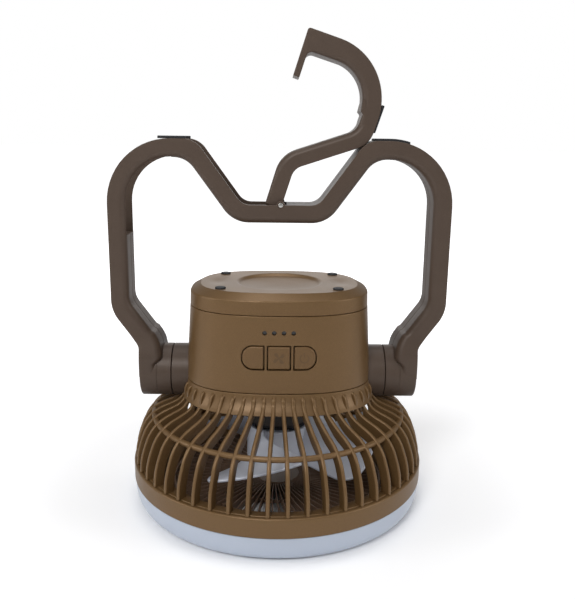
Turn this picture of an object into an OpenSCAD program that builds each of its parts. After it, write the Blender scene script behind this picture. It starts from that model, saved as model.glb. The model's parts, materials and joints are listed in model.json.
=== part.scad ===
// Portable fan and lamp with a swing handle and a folding hanging hook.
// Millimetres. +Z is the fan axis, X is the handle's hinge axis, -Y is the button side.
// The origin is on the fan axis, in the plane that the lamp ring stands on.

/* [Fan head] */
// Outer radius of the rim
rim_r = 95; // [94:0.5:97]
// Height of the lit ring above the floor
lamp_h = 16; // [15:0.5:17]
// Height of the rim's top edge
rim_top = 28; // [27.5:0.5:29]
// Inner radius of the air outlet
outlet_r = 70.5; // [70:0.5:71]
// Number of guard ribs
rib_n = 52; // [40:1:56]
// Thickness of one guard rib
rib_t = 2.3; // [1.8:0.1:2.8]

/* [Rotor] */
// Number of blades
blade_n = 4; // [3:1:5]
// Radius at the blade tips
blade_r = 66; // [60:0.5:67]

/* [Housing] */
// Height of the seam between guard and housing
seam_z = 82.8; // [82.5:0.1:83]
// Height of the seam between housing and base cap
cap_z = 130.3; // [129.5:0.1:131]
// Height of the base cap's flat face
top_z = 142.7; // [142:0.1:143.5]
// Wall thickness of the housing
wall = 2.4; // [2:0.1:2.8]

/* [Buttons] */
// Height of the button row's centre line
button_z = 105; // [104:0.5:106]
// Gap around a button
button_gap = 0.7; // [0.5:0.1:0.8]

/* [Handle] */
// Half of the handle's outside width
handle_x = 105.4; // [105:0.2:107]
// Depth of the handle bar, front to back
handle_d = 27; // [26.6:0.2:28]
// Height of the handle's shoulders
shoulder_z = 231.6; // [231:0.2:233]
// Height of the hinge axis
hinge_z = 83.3; // [83.1:0.1:83.5]
// Radius of the hinge discs
hub_r = 17; // [16.6:0.1:17]

/* [Hook] */
// Width of the hook, front to back
hook_w = 21; // [18:0.5:21]
// Angle between the folded and the hanging position
fold = 107.8; // [107.5:0.1:107.9]

/* [Hidden] */
$fn = 96;

bronze = [0.43, 0.34, 0.23];
brown = [0.35, 0.30, 0.27];
pin = [0.3, 192.5];
hd = handle_d / 2;
screw_r = 89.3;         // circle of the screws between bezel and guard
chan = 11;              // half width of the channel between the handle's walls
pad_t = 1.5;

// ---------- plan outline of the housing ----------
function se(a, b, n = 2.6, m = 72) = [for (i = [0:m - 1]) let (t = 360 * i / m, c = cos(t), s = sin(t))
    [a * sign(c) * pow(abs(c), 2 / n), b * sign(s) * pow(abs(s), 2 / n)]];
module slab(a, b, z, h = 0.02) translate([0, 0, z]) linear_extrude(h) polygon(se(a, b));
// half width and half depth of the housing at a height
function hx(z) = 59.3 - (z - seam_z) * 2.7 / 47.5;
function hy(z) = 46.3 - (z - seam_z) * 2.6 / 47.5;

// ---------- polylines with rounded corners ----------
function unit(v) = v / norm(v);
function cut(l, k) = let (d = l[0] * k[1] - l[1] * k[0]) [(l[2] * k[1] - k[2] * l[1]) / d, (l[0] * k[2] - k[0] * l[2]) / d];
function shift(l, d) = [l[0], l[1], l[2] + d];
function corner(p, q, r, rad, n = 9) = rad < 0.05 ? [q] : let (a = unit(p - q), b = unit(r - q), h = acos(a * b) / 2,
    c = q + unit(a + b) * rad / sin(h), u = q + a * rad / tan(h) - c, w = q + b * rad / tan(h) - c,
    s = atan2(u[1], u[0]), e0 = atan2(w[1], w[0]), e = e0 - s > 180 ? e0 - 360 : (e0 - s < -180 ? e0 + 360 : e0))
    [for (i = [0:n]) c + rad * [cos(s + (e - s) * i / n), sin(s + (e - s) * i / n)]];
function soft(pts, rads, n = 9) = [for (i = [0:len(pts) - 1]) each (i == 0 || i == len(pts) - 1 ? [pts[i]]
    : corner(pts[i - 1], pts[i], pts[i + 1], rads[i], n))];
function flip(pts) = [for (i = [len(pts) - 1:-1:0]) pts[i]];
function mir(pts) = [for (p = pts) [-p[0], p[1]]];

// lines are [nx, nz, c] with the normal pointing out of the bar
o_dip = [0, 1, 192.5];
o_slope = [-0.809, 0.588, 94.3];
o_top = [0, 1, shoulder_z];
o_leg = [1, 0, handle_x];
o_low = [0.81, -0.587, 11.84];
o_hub = [1, 0, 88.8];
i_dip = [0, -1, -181.3];
i_slope = [0.809, -0.588, -83.2];
i_top = [0, -1, -220.4];
i_leg = [-1, 0, -(handle_x - 11)];
i_low = [-0.81, 0.587, -0.12];
i_hub = [-1, 0, -77.8];

// outer edge from the middle to the hinge, grown by d
function outer(d, z0 = 83) = let (L = [for (l = [o_dip, o_slope, o_top, o_leg, o_low, o_hub]) shift(l, d)])
    soft([[0, L[0][2]], cut(L[0], L[1]), cut(L[1], L[2]), cut(L[2], L[3]), cut(L[3], L[4]), cut(L[4], L[5]), [L[5][2], z0]],
    [0, max(10 - d, 0), 14 + d, 39.3 + d, 22 + d, max(7 - d, 0), 0]);
function inner(d, z0 = 83) = let (L = [for (l = [i_dip, i_slope, i_top, i_leg, i_low, i_hub]) shift(l, d)])
    soft([[0, -L[0][2]], cut(L[0], L[1]), cut(L[1], L[2]), cut(L[2], L[3]), cut(L[3], L[4]), cut(L[4], L[5]), [-L[5][2], z0]],
    [0, 19 + d, max(15 - d, 0), 28.3 - d, max(13 - d, 0), 9 + d, 0]);
function half_band(a, b, z0 = 83) = concat(outer(a, z0), flip(inner(b, z0)));

// extrude an x-z outline along Y
module plate(y0, y1) translate([0, y1, 0]) rotate([90, 0, 0]) linear_extrude(y1 - y0) children();

// ---------- hook outline, drawn in its folded place ----------
h_dip = [0, 1, 193.3];
h_slope = [0.809, 0.588, 95.1];
h_top = [0, 1, shoulder_z + 0.3];
h_leg = [-1, 0, 102.7];
h_end = 175.35;
module hook_outline() {
    a = cut(h_dip, h_slope);
    b = cut(h_slope, h_top);
    c = cut(h_top, h_leg);
    g_dip = [0, -1, -183.0];
    g_slope = [-0.809, -0.588, -84.8];
    g_thin = [0, -1, -222.0];
    g_top = [0, -1, -220.1];
    g_leg = [-1, 0, 90.3];
    p = cut(g_dip, g_slope);
    q = cut(g_slope, g_thin);
    r = cut(g_top, g_leg);
    difference() {
        union() {
            polygon(soft([[pin[0], 193.3], a, b, c, [-102.7, h_end], [-74.3, h_end], [-74.3, h_end + 3.9], [-90.3, h_end + 3.9],
                r, [-67.6, 220.1], [-66.5, 222.0], q, p, [2.6, 183.3], [2.9, 192.5], [pin[0], 193.3]],
                [0, 9.4, 14.4, 36.6, 1.6, 0.5, 0.5, 3.5, 22.3, 1, 1, 10, 19, 1, 0, 0]));
            translate(pin) circle(r = 2.6, $fn = 48);
        }
        translate(pin) circle(r = 1.56, $fn = 48);
    }
}

// ================= fan head =================
module lamp_diffuser() {
    color([0.86, 0.89, 0.95]) rotate_extrude($fn = 180) polygon([[72.6, 0], [86, 0], [90.4, 1.4], [93, 4.6], [94.2, 9], [94.5, lamp_h - 0.1],
        [92.5, lamp_h - 0.1], [92.2, 9.4], [91.2, 5.7], [89.2, 3.1], [85.6, 1.8], [74.4, 1.8], [74.4, 5], [72.6, 5]]);
}

module lamp_board() {
    color([0.9, 0.92, 0.9]) translate([0, 0, 21.8]) difference() {
        cylinder(r = 92, h = 1.6, $fn = 144);
        translate([0, 0, -1]) cylinder(r = 84, h = 4, $fn = 144);
        for (a = [30:60:330]) rotate(a) translate([screw_r, 0, -1]) cylinder(r = 1.7, h = 4, $fn = 24);
    }
}

module lamp_leds() {
    color([0.98, 0.93, 0.7]) for (i = [0:23]) rotate(i * 15 + 7.5) translate([84.8, -1.4, 21]) cube([3.5, 2.8, 0.8]);
}

module front_bezel() {
    color(bronze) difference() {
        union() {
            rotate_extrude($fn = 180) polygon([[outlet_r, 1.2], [72.4, 1.2], [72.4, 5.2], [73.2, 5.2], [73.2, 9.4], [83.4, 23.5], [92.4, 23.5], [92.4, lamp_h],
                [rim_r - 0.3, lamp_h], [rim_r, lamp_h + 0.4], [rim_r, rim_top - 1], [rim_r - 0.8, rim_top], [92.5, rim_top], [92.5, 25.5], [81.8, 25.5], [outlet_r, 10.4]]);
        }
        for (a = [30:60:330]) rotate(a) translate([screw_r, 0, 20]) cylinder(r = 1.7, h = 8, $fn = 24);
    }
}

module front_grille() {
    color([0.13, 0.11, 0.10]) difference() {
        union() {
            translate([0, 0, 3]) difference() {
                cylinder(r = outlet_r - 0.2, h = 7, $fn = 144);
                translate([0, 0, -1]) cylinder(r = outlet_r - 2, h = 9, $fn = 144);
            }
            translate([0, 0, 3.6]) cylinder(r = 15, h = 5.6);
            for (r = [33, 51]) translate([0, 0, 4.3]) difference() {
                cylinder(r = r + 0.7, h = 2.1, $fn = 120);
                translate([0, 0, -1]) cylinder(r = r - 0.7, h = 5, $fn = 120);
            }
            for (i = [0:71]) rotate(i * 5) translate([13.6, 0.3, 4]) rotate(9) cube([55.7, 0.75, 4.7]);
        }
    }
}

// one guard rib in the plane through the fan axis, radius against height; it starts on the skirt at its own angle
function skirt_r(t) = pow(pow(abs(cos(t)) / 60.3, 2.6) + pow(abs(sin(t)) / 48.5, 2.6), -1 / 2.6);
module rib_outline(t) {
    s = skirt_r(t);
    w = (s - 48) / 12.2;
    polygon([[s - 6, 80.6], [s - 0.6, 79.8], [s + 0.6, 76], [55.5 + 6.6 * w, 71.8 - 0.4 * w], [62 + 3.2 * w, 68.9 - 1.2 * w],
        [69.5, 65.3], [77.6, 62.2], [83.5, 58], [88, 52], [90.5, 46], [92, 42], [93.5, 36], [94, rim_top + 0.15],
        [87.6, rim_top + 0.15], [87, 36], [85.6, 41], [84, 44.5], [81.8, 49], [78.8, 53.2], [74.8, 56.2], [68.5, 58.5],
        [s + 1.5, 69.5 - 3 * w], [s - 6, 70.5]]);
}

module rear_guard() {
    color(bronze) difference() {
        union() {
            hull() {
                slab(hx(seam_z), hy(seam_z), seam_z - 0.22);
                slab(60.2, 48.2, 77);
                slab(62, 52.5, 71);
            }
            for (i = [0:rib_n - 1]) rotate((i + 0.5) * 360 / rib_n) translate([0, rib_t / 2, 0]) rotate([90, 0, 0])
                linear_extrude(rib_t) rib_outline((i + 0.5) * 360 / rib_n);
            rotate_extrude($fn = 120) translate([81.2, 57.2]) circle(r = 1.75, $fn = 24);
            rotate_extrude($fn = 180) polygon([[86.4, 25.6], [92.3, 25.6], [92.3, rim_top + 0.3], [86.4, rim_top + 0.3]]);
        }
        hull() {
            slab(57.2, 44.5, 80.5);
            slab(60.2 - wall, 48.2 - wall, 77);
            slab(62 - wall, 52.5 - wall, 66);
        }
        translate([-100, 0, hinge_z]) rotate([0, 90, 0]) cylinder(r = hub_r + 0.7, h = 31.8);
        translate([68.2, 0, hinge_z]) rotate([0, 90, 0]) cylinder(r = hub_r + 0.7, h = 31.8);
        // flange opening, screw holes and the seats of the hinge hubs
        translate([0, 0, 79]) linear_extrude(5) polygon(se(44, 32));
        for (x = [-47, 47], y = [-17, 17]) translate([x, y, 79]) cylinder(r = 1.5, h = 5, $fn = 24);
        hub_seats();
        for (a = [30:60:330]) rotate(a) translate([screw_r, 0, 25]) cylinder(r = 1.1, h = 3.1, $fn = 24);
    }
}

module guard_screws() {
    color([0.55, 0.55, 0.57]) for (a = [30:60:330]) rotate(a) translate([screw_r, 0, 0]) {
        translate([0, 0, 20.0]) cylinder(r = 2.6, h = 1.75, $fn = 24);
        translate([0, 0, 21.7]) cylinder(r = 1.08, h = 6.2, $fn = 24);
    }
}

// room for the two hinge hubs and their keyed flanges
module hub_seats(g = 0.05) for (s = [-1, 1]) {
    translate([s * 61.1, 0, hinge_z]) rotate([0, 90, 0]) cylinder(r = hub_r + g, h = 14.4, center = true);
    translate([s * 54.7, 0, hinge_z]) cube([1.6, 37.2 + 2 * g, 30 + 2 * g], center = true);
}

// plate that clamps the guard to the housing and carries the motor
module motor_base() {
    color([0.22, 0.21, 0.20]) difference() {
        union() {
            translate([0, 0, 77.4]) linear_extrude(3) polygon(se(56.2, 43.2));
            translate([0, 0, 51]) cylinder(r = 21, h = 26.6);
        }
        translate([0, 0, 50]) cylinder(r = 19.4, h = 27.4);
        translate([0, 0, 76]) cylinder(r = 5, h = 6);
        for (x = [-47, 47], y = [-17, 17]) translate([x, y, 76]) cylinder(r = 1.5, h = 6, $fn = 24);
        translate([12, 0, 76]) cylinder(r = 3, h = 6, $fn = 32);
        for (s = [-1, 1]) {
            translate([s * 57.6, 0, hinge_z]) rotate([0, 90, 0]) cylinder(r = hub_r + 0.6, h = 8.4, center = true);
            translate([s * 57.6, 0, hinge_z]) cube([8.4, 38, 31], center = true);
        }
    }
}

module base_screws() {
    color([0.55, 0.55, 0.57]) for (x = [-47, 47], y = [-17, 17]) translate([x, y, 0]) {
        translate([0, 0, 75.6]) cylinder(r = 2.6, h = 1.75, $fn = 24);
        translate([0, 0, 77.3]) cylinder(r = 1.08, h = 10, $fn = 24);
    }
}

module motor_stator() {
    color([0.62, 0.38, 0.18]) difference() {
        union() {
            translate([0, 0, 51.5]) cylinder(r = 5.4, h = 24);
            translate([0, 0, 74.2]) cylinder(r = 19.2, h = 3.1);
            for (i = [0:8]) rotate(i * 40) {
                translate([4.6, -1.3, 54]) cube([9.2, 2.6, 10]);
                translate([6.6, -2.3, 53]) cube([5, 4.6, 12]);
                rotate([0, 0, -15]) translate([0, 0, 54]) rotate_extrude(angle = 30, $fn = 96) translate([13.6, 0]) square([2, 10]);
            }
        }
        translate([0, 0, 50]) cylinder(r = 3.56, h = 24.2);
        translate([12, 0, 70]) cylinder(r = 3, h = 10, $fn = 32);
    }
}

module motor_bearings() {
    color([0.75, 0.75, 0.77]) for (z = [51.7, 70.8]) translate([0, 0, z]) difference() {
        cylinder(r = 3.5, h = 3);
        translate([0, 0, -1]) cylinder(r = 1.54, h = 5);
    }
}

module motor_bell() {
    color([0.28, 0.28, 0.29]) difference() {
        translate([0, 0, 47.6]) cylinder(r = 18.6, h = 22.4);
        translate([0, 0, 49.2]) cylinder(r = 16.4, h = 24);
        translate([0, 0, 47]) cylinder(r = 1.52, h = 4);
    }
}

module motor_shaft() {
    color([0.8, 0.8, 0.82]) translate([0, 0, 22.6]) cylinder(r = 1.5, h = 51.2);
}

// cup-shaped hub with twisted blades
module fan_rotor() {
    color([0.66, 0.68, 0.73]) difference() {
        union() {
            difference() {
                translate([0, 0, 22]) cylinder(r = 20.6, h = 24.9);
                translate([0, 0, 25]) cylinder(r = 18.4, h = 30);
            }
            translate([0, 0, 22]) cylinder(r = 8, h = 25.5);
            rotor_blades();
        }
        translate([0, 0, 20]) cylinder(r = 4.4, h = 6);
        translate([0, 0, 20]) cylinder(r = 1.52, h = 30);
    }
}

// twisted blade: its low edge is radial, its high edge sweeps forward, and the low tip corner is round
function high_edge(r) = lookup(r, [[19, -26], [21, -24], [30, -15], [40, -3], [50, 8], [60, 14], [66, 16.2]]);
module blade() {
    rs = [for (f = [0, 0.1, 0.24, 0.42, 0.6, 0.72, 0.82, 0.91, 0.97, 1]) 19.4 + (blade_r - 19.7) * f];
    n = 6;
    m = len(rs);
    w = n + 1;
    o = m * w;
    pts = [for (sg = [1, -1]) for (r = rs) let (hi = high_edge(r), rise = 23 / (hi + 48), phi = atan2(rise, r * PI / 180),
        d = max(0, (r - blade_r + 13.3) / 13), lo = -48 + 13 * (1 - sqrt(max(0, 1 - d * d))) / r * 180 / PI)
        for (j = [0:n]) let (a = lo + (hi - lo) * j / n, t = -0.9 * sin(phi) * sg)
        [r * cos(a) - t * sin(a), r * sin(a) + t * cos(a), 24.5 + rise * (a + 48) + 0.9 * cos(phi) * sg]];
    top = [for (i = [0:m - 2], j = [0:n - 1]) let (k = i * w + j) each [[k, k + w + 1, k + w], [k, k + 1, k + w + 1]]];
    low = [for (f = top) [o + f[0], o + f[2], o + f[1]]];
    sides = [for (i = [0:m - 2]) let (k = i * w, q = k + n) each [[k, k + w, o + k + w], [k, o + k + w, o + k],
        [q, o + q + w, q + w], [q, o + q, o + q + w]]];
    ends = [for (j = [0:n - 1]) let (k = j, q = (m - 1) * w + j) each [[k + 1, k, o + k], [k + 1, o + k, o + k + 1],
        [q + 1, o + q, q], [q + 1, o + q + 1, o + q]]];
    polyhedron(points = pts, faces = concat(top, low, sides, ends), convexity = 4);
}
module rotor_blades() for (i = [0:blade_n - 1]) rotate(i * 360 / blade_n) blade();

module rotor_nut() {
    color([0.72, 0.72, 0.74]) translate([0, 0, 22.3]) difference() {
        cylinder(r = 3.6, h = 3.6, $fn = 6);
        translate([0, 0, -1]) cylinder(r = 1.52, h = 7);
    }
}

// ================= housing =================
module button_slot(x0, x1, side, g) {
    h = 6.95 + g;
    if (side == 0) translate([x0 - g, button_z - h]) square([x1 - x0 + 2 * g, 2 * h]);
    else intersection() {
        translate([x0 - g, button_z - h]) square([x1 - x0 + 2 * g, 2 * h]);
        union() {
            translate([side < 0 ? x0 + 6.95 : x1 - 6.95, button_z]) circle(r = h, $fn = 64);
            translate([side < 0 ? x0 + 6.95 : x0 - g - 2, button_z - h]) square([x1 - x0 + g + 2 - 6.95, 2 * h]);
        }
    }
}

module housing_shell() {
    color(bronze) difference() {
        union() {
            difference() {
                hull() { slab(hx(seam_z), hy(seam_z), seam_z); slab(hx(cap_z), hy(cap_z), cap_z - 0.22); }
                hull() { slab(hx(seam_z) - wall, hy(seam_z) - wall, seam_z + 2.4); slab(hx(cap_z) - wall, hy(cap_z) - wall, cap_z + 0.1); }
            }
            for (x = [-36, 36], y = [-24, 24]) translate([x, y, seam_z + 1]) cylinder(r = 4, h = 127 - seam_z - 1, $fn = 48);
            for (x = [-24, 24]) translate([x, -42.6, 93.5]) rotate([-90, 0, 0]) cylinder(r = 2.4, h = 7.9, $fn = 32);
            for (x = [-24, 24]) translate([x, -40.9, 125]) rotate([-90, 0, 0]) cylinder(r = 2.4, h = 6.2, $fn = 32);
            for (x = [-47, 47], y = [-17, 17]) translate([x, y, seam_z + 1]) cylinder(r = 3, h = 6.2, $fn = 32);
            for (x = [-6.6, 6.6]) translate([x, 30, seam_z + 1]) cylinder(r = 2.4, h = 92.9 - seam_z - 1, $fn = 32);
        }
        for (x = [-36, 36], y = [-24, 24]) translate([x, y, 112]) cylinder(r = 1.25, h = 20, $fn = 24);
        for (x = [-24, 24], z = [93.5, 125]) translate([x, -39.5, z]) rotate([-90, 0, 0]) cylinder(r = 0.85, h = 6, $fn = 24);
        plate(-50, -38) button_slot(-22, -9.2, -1, button_gap);
        plate(-50, -38) button_slot(-6.6, 6.6, 0, button_gap);
        plate(-50, -38) button_slot(9.2, 22, 1, button_gap);
        for (x = [-8.6, -2.9, 2.9, 8.6]) translate([x, -50, 120.1]) rotate([-90, 0, 0]) cylinder(r = 1.4, h = 12, $fn = 32);
        for (x = [-6.6, 6.6]) translate([x, 30, 86]) cylinder(r = 0.85, h = 8, $fn = 24);
        // port opening in the back wall
        translate([0, 50, 95.9]) rotate([90, 0, 0]) linear_extrude(12) { for (x = [-2.9, 2.9]) translate([x, 0]) circle(r = 1.8, $fn = 32); translate([-2.9, -1.8]) square([5.8, 3.6]); }
        translate([0, 50, 95.9]) rotate([90, 0, 0]) linear_extrude(5) { for (x = [-4.4, 4.4]) translate([x, 0]) circle(r = 4, $fn = 32); translate([-4.4, -4]) square([8.8, 8]); }
        // seats for the hinge hubs
        hub_seats();
        // motor lead
        translate([12, 0, 80]) cylinder(r = 3, h = 8, $fn = 32);
        for (x = [-47, 47], y = [-17, 17]) translate([x, y, 80]) cylinder(r = 1.1, h = 8, $fn = 24);
    }
}

module base_cap() {
    color(bronze) difference() {
        union() {
            difference() {
                hull() { slab(hx(cap_z), hy(cap_z), cap_z); slab(56.3, 43.5, 139.1); slab(49.8, 37, top_z - 0.02); }
                hull() { slab(hx(cap_z) - wall, hy(cap_z) - wall, cap_z - 0.1); slab(53.4, 40.6, 136.4); slab(50, 37.4, 138.4); }
            }
            for (x = [-36, 36], y = [-24, 24]) translate([x, y, cap_z - 3.1]) cylinder(r = 4, h = 12.4, $fn = 48);
        }
        // thumb dish
        translate([0, 0, top_z + 103.5]) sphere(r = 107, $fn = 200);
        for (x = [-36, 36], y = [-24, 24]) translate([x, y, 0]) {
            translate([0, 0, 120]) cylinder(r = 1.6, h = 30, $fn = 24);
            translate([0, 0, 131.4]) cylinder(r = 2.9, h = 20, $fn = 32);
            translate([0, 0, top_z - 1.2]) cylinder(r = 3.4, h = 5, $fn = 32);
        }
    }
}

module cap_screws() {
    color([0.55, 0.55, 0.57]) for (x = [-36, 36], y = [-24, 24]) translate([x, y, 0]) {
        translate([0, 0, 131.4]) cylinder(r = 2.7, h = 1.8, $fn = 32);
        translate([0, 0, 117]) cylinder(r = 1.2, h = 14.4, $fn = 24);
    }
}

module rubber_feet() {
    color([0.06, 0.06, 0.07]) for (x = [-36, 36], y = [-24, 24]) translate([x, y, top_z - 1.2]) cylinder(r = 3.3, h = 2.2, $fn = 48);
}

module battery_holder() {
    color([0.12, 0.12, 0.13]) {
        translate([-36.4, -19.4, seam_z + 2.6]) cube([72.8, 38.8, 2]);
        for (x = [-36.4, 33.6]) translate([x, -19.4, seam_z + 4.6]) cube([2.8, 38.8, 36]);
    }
}

module battery_cells() {
    color([0.16, 0.42, 0.66]) for (y = [-9.5, 9.5], z = [97.2, 116.2]) translate([-32.5, y, z]) rotate([0, 90, 0]) cylinder(r = 9.2, h = 65);
}

module cell_links() {
    color([0.78, 0.77, 0.72]) for (x = [-33.1, 32.6]) translate([x, -14, 93]) cube([0.5, 28, 28]);
}

module main_board() {
    color([0.10, 0.28, 0.16]) difference() {
        translate([-28, -34.6, 90]) cube([56, 1.6, 38]);
        for (x = [-24, 24], z = [93.5, 125]) translate([x, -36, z]) rotate([-90, 0, 0]) cylinder(r = 1.3, h = 5, $fn = 24);
    }
}

module board_screws() {
    color([0.55, 0.55, 0.57]) for (x = [-6.6, 6.6]) translate([x, 30, 0]) {
        translate([0, 0, 94.3]) cylinder(r = 2, h = 1.2, $fn = 24);
        translate([0, 0, 87.5]) cylinder(r = 0.82, h = 6.8, $fn = 24);
    }
    color([0.55, 0.55, 0.57]) for (x = [-24, 24], z = [93.5, 125]) translate([x, 0, z]) rotate([-90, 0, 0]) {
        translate([0, 0, -33]) cylinder(r = 2, h = 1.2, $fn = 24);
        translate([0, 0, -38.5]) cylinder(r = 0.82, h = 5.5, $fn = 24);
    }
}

module tact_switches() {
    color([0.2, 0.2, 0.21]) for (x = [-15.6, 0, 15.6]) {
        translate([x - 3, -37.2, button_z - 3]) cube([6, 2.6, 6]);
        translate([x, -38.6, button_z]) rotate([-90, 0, 0]) cylinder(r = 1.6, h = 1.4, $fn = 32);
    }
}

module indicator_leds() {
    color([0.9, 0.9, 0.8]) for (x = [-8.6, -2.9, 2.9, 8.6]) translate([x - 0.8, -35.4, 119.3]) cube([1.6, 0.8, 1.6]);
}

module light_pipes() {
    color([0.85, 0.87, 0.88]) {
        for (x = [-8.6, -2.9, 2.9, 8.6]) translate([x, -42.6, 120.1]) rotate([-90, 0, 0]) cylinder(r = 1.3, h = 6.9, $fn = 32);
        translate([-11.4, -39.6, 118.3]) cube([22.8, 1.4, 3.6]);
    }
}

module charging_port() {
    color([0.72, 0.72, 0.74]) translate([0, 44.7, 95.9]) rotate([90, 0, 0]) difference() {
        linear_extrude(7.4) { for (x = [-2.8, 2.8]) translate([x, 0]) circle(r = 1.63, $fn = 32); translate([-2.8, -1.63]) square([5.6, 3.26]); }
        translate([0, 0, -0.1]) difference() {
            linear_extrude(6.4) { for (x = [-2.8, 2.8]) translate([x, 0]) circle(r = 1.3, $fn = 32); translate([-2.8, -1.3]) square([5.6, 2.6]); }
            translate([-2.9, -0.35, 1]) cube([5.8, 0.7, 6]);
        }
    }
}

module port_board() {
    color([0.10, 0.28, 0.16]) difference() {
        translate([-9, 27, 93]) cube([18, 15.4, 1.2]);
        for (x = [-6.6, 6.6]) translate([x, 30, 90]) cylinder(r = 1.3, h = 6, $fn = 24);
    }
}

// ================= buttons =================
module button_cap(x0, x1, side) {
    color([0.40, 0.32, 0.22]) {
        intersection() {
            plate(-47.2, -40.2) button_slot(x0, x1, side, 0);
            hull() { slab(hx(seam_z) + 0.5, hy(seam_z) + 0.5, seam_z); slab(hx(cap_z) + 0.5, hy(cap_z) + 0.5, cap_z); }
        }
        plate(-40.6, -39.6) button_slot(x0, x1, side, 0.9);
    }
}
module lamp_button() button_cap(-22, -9.2, -1);
module fan_button() button_cap(-6.6, 6.6, 0);
module power_button() button_cap(9.2, 22, 1);

// ================= hinge =================
module hub(s) {
    color(brown) difference() {
        union() {
            translate([s > 0 ? 54 : -68.2, 0, hinge_z]) rotate([0, 90, 0]) cylinder(r = hub_r, h = 14.2);
            translate([s * 54.7, 0, hinge_z]) cube([1.4, 37.2, 30], center = true);
        }
        translate([s > 0 ? 50 : -80, 0, hinge_z]) rotate([0, 90, 0]) cylinder(r = 4.05, h = 30, $fn = 48);
        // recess for the nut
        translate([s * 53.9, 0, hinge_z]) rotate([0, s * 90, 0]) cylinder(r = 8, h = 5.5, $fn = 48);
    }
}
module left_hub() hub(-1);
module right_hub() hub(1);

module friction_washers() {
    color([0.85, 0.84, 0.8]) for (s = [-1, 1]) translate([s * 68.45, 0, hinge_z]) rotate([0, 90, 0]) difference() {
        cylinder(r = 12, h = 0.3, center = true);
        cylinder(r = 4.4, h = 2, center = true, $fn = 48);
    }
}

module hinge_bolts() {
    color([0.7, 0.7, 0.72]) for (s = [-1, 1]) translate([0, 0, hinge_z]) rotate([0, s * 90, 0]) {
        translate([0, 0, 55.6]) cylinder(r = 4, h = 26.1, $fn = 64);
        translate([0, 0, 81.7]) cylinder(r = 7, h = 3.3, $fn = 64);
    }
}

module hinge_nuts() {
    color([0.6, 0.6, 0.62]) for (s = [-1, 1]) translate([0, 0, hinge_z]) rotate([0, s * 90, 0]) translate([0, 0, 55.8]) difference() {
        cylinder(r = 6.6, h = 3, $fn = 6);
        translate([0, 0, -1]) cylinder(r = 4.02, h = 6, $fn = 48);
    }
}

module hinge_caps() {
    color(brown) for (s = [-1, 1]) translate([0, 0, hinge_z]) rotate([0, s * 90, 0]) translate([0, 0, 86]) cylinder(r = 9.9, h = 2.6, $fn = 64);
}

// ================= handle =================
module handle_solid() {
    plate(-hd, hd) polygon(concat(flip(half_band(0, 0)), []));
    mirror([1, 0, 0]) plate(-hd, hd) polygon(half_band(0, 0));
    for (s = [-1, 1]) translate([s * 68.7, 0, hinge_z]) rotate([0, s * 90, 0]) cylinder(r = hub_r, h = 20.1);
    // the arm widens into the disc
    for (m = [0, 1]) mirror([m, 0, 0]) intersection() {
        plate(-hub_r, hub_r) polygon(half_band(0, 0));
        translate([70, 0, 0]) rotate([90, 0, 90]) linear_extrude(40) polygon([[-hub_r, 83], [hub_r, 83], [hub_r, 93], [16.2, 98],
            [14.4, 106], [13.4, 113], [-13.4, 113], [-14.4, 106], [-16.2, 98], [-hub_r, 93]]);
    }
    translate([pin[0], hd, pin[1]]) rotate([90, 0, 0]) cylinder(r = 2.6, h = handle_d, $fn = 48);
}

module handle_cuts() {
    // hollow of the closed right half
    plate(-chan, chan) intersection() { polygon(half_band(-2.4, -2.4)); translate([7, 109]) square([120, 140]); }
    // hollow of the left leg below the slot
    plate(-chan, chan) intersection() { polygon(mir(half_band(-2.4, -2.4))); translate([-120, 109]) square([120, 60]); }
    // channel for the folded hook, open upwards and outwards
    plate(-chan, chan) intersection() { polygon(mir(half_band(6, -1.2))); translate([-66, 160]) square([70, 90]); }
    plate(-chan, chan) translate([-0.1, 182.5]) square([4.2, 20]);
    // shoulder slot, open on both sides
    plate(-chan, chan) intersection() { polygon(mir(half_band(6, 6))); translate([-125, 172.5]) square([59.1, 80]); }
    // bores of the hinge
    for (s = [-1, 1]) translate([0, 0, hinge_z]) rotate([0, s * 90, 0]) {
        translate([0, 0, 60]) cylinder(r = 4.05, h = 30, $fn = 64);
        translate([0, 0, 81.5]) cylinder(r = 7.3, h = 10, $fn = 64);
        translate([0, 0, 85.9]) cylinder(r = 10, h = 10, $fn = 64);
    }
    translate([pin[0], 20, pin[1]]) rotate([90, 0, 0]) cylinder(r = 1.52, h = 40, $fn = 48);
    // seat of the right shoulder pad
    intersection() {
        plate(-chan, chan) polygon(concat(outer(3), flip(outer(-0.3))));
        translate([57, -20, 224]) cube([21.6, 40, 30]);
    }
}

screw_at = [[99.9, 150], [99.9, 196], [22, 186.9], [-99.9, 150]];
module handle_half(s) {
    difference() {
        union() {
            intersection() {
                difference() { handle_solid(); handle_cuts(); }
                translate([-150, s < 0 ? -20 : 0.05, 40]) cube([300, 19.95, 220]);
            }
            for (p = screw_at) translate([p[0], s < 0 ? -0.05 : 0.05, p[1]]) rotate([s < 0 ? 90 : -90, 0, 0]) cylinder(r = 2.9, h = 11.2, $fn = 32);
        }
        for (p = screw_at) translate([p[0], s < 0 ? 1 : -1, p[1]]) rotate([s < 0 ? 90 : -90, 0, 0]) cylinder(r = s < 0 ? 1.05 : 1.4, h = s < 0 ? 9 : 20, $fn = 24);
        if (s > 0) for (p = screw_at) translate([p[0], 9, p[1]]) rotate([-90, 0, 0]) cylinder(r = 2.4, h = 10, $fn = 32);
    }
}
module handle_front_shell() color(brown) handle_half(-1);
module handle_rear_shell() color(brown) handle_half(1);

module handle_screws() {
    color([0.2, 0.2, 0.2]) for (p = screw_at) translate([p[0], 0, p[1]]) rotate([-90, 0, 0]) {
        translate([0, 0, 9]) cylinder(r = 2.2, h = 1.8, $fn = 32);
        translate([0, 0, -7]) cylinder(r = 1, h = 16, $fn = 24);
    }
}

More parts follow.
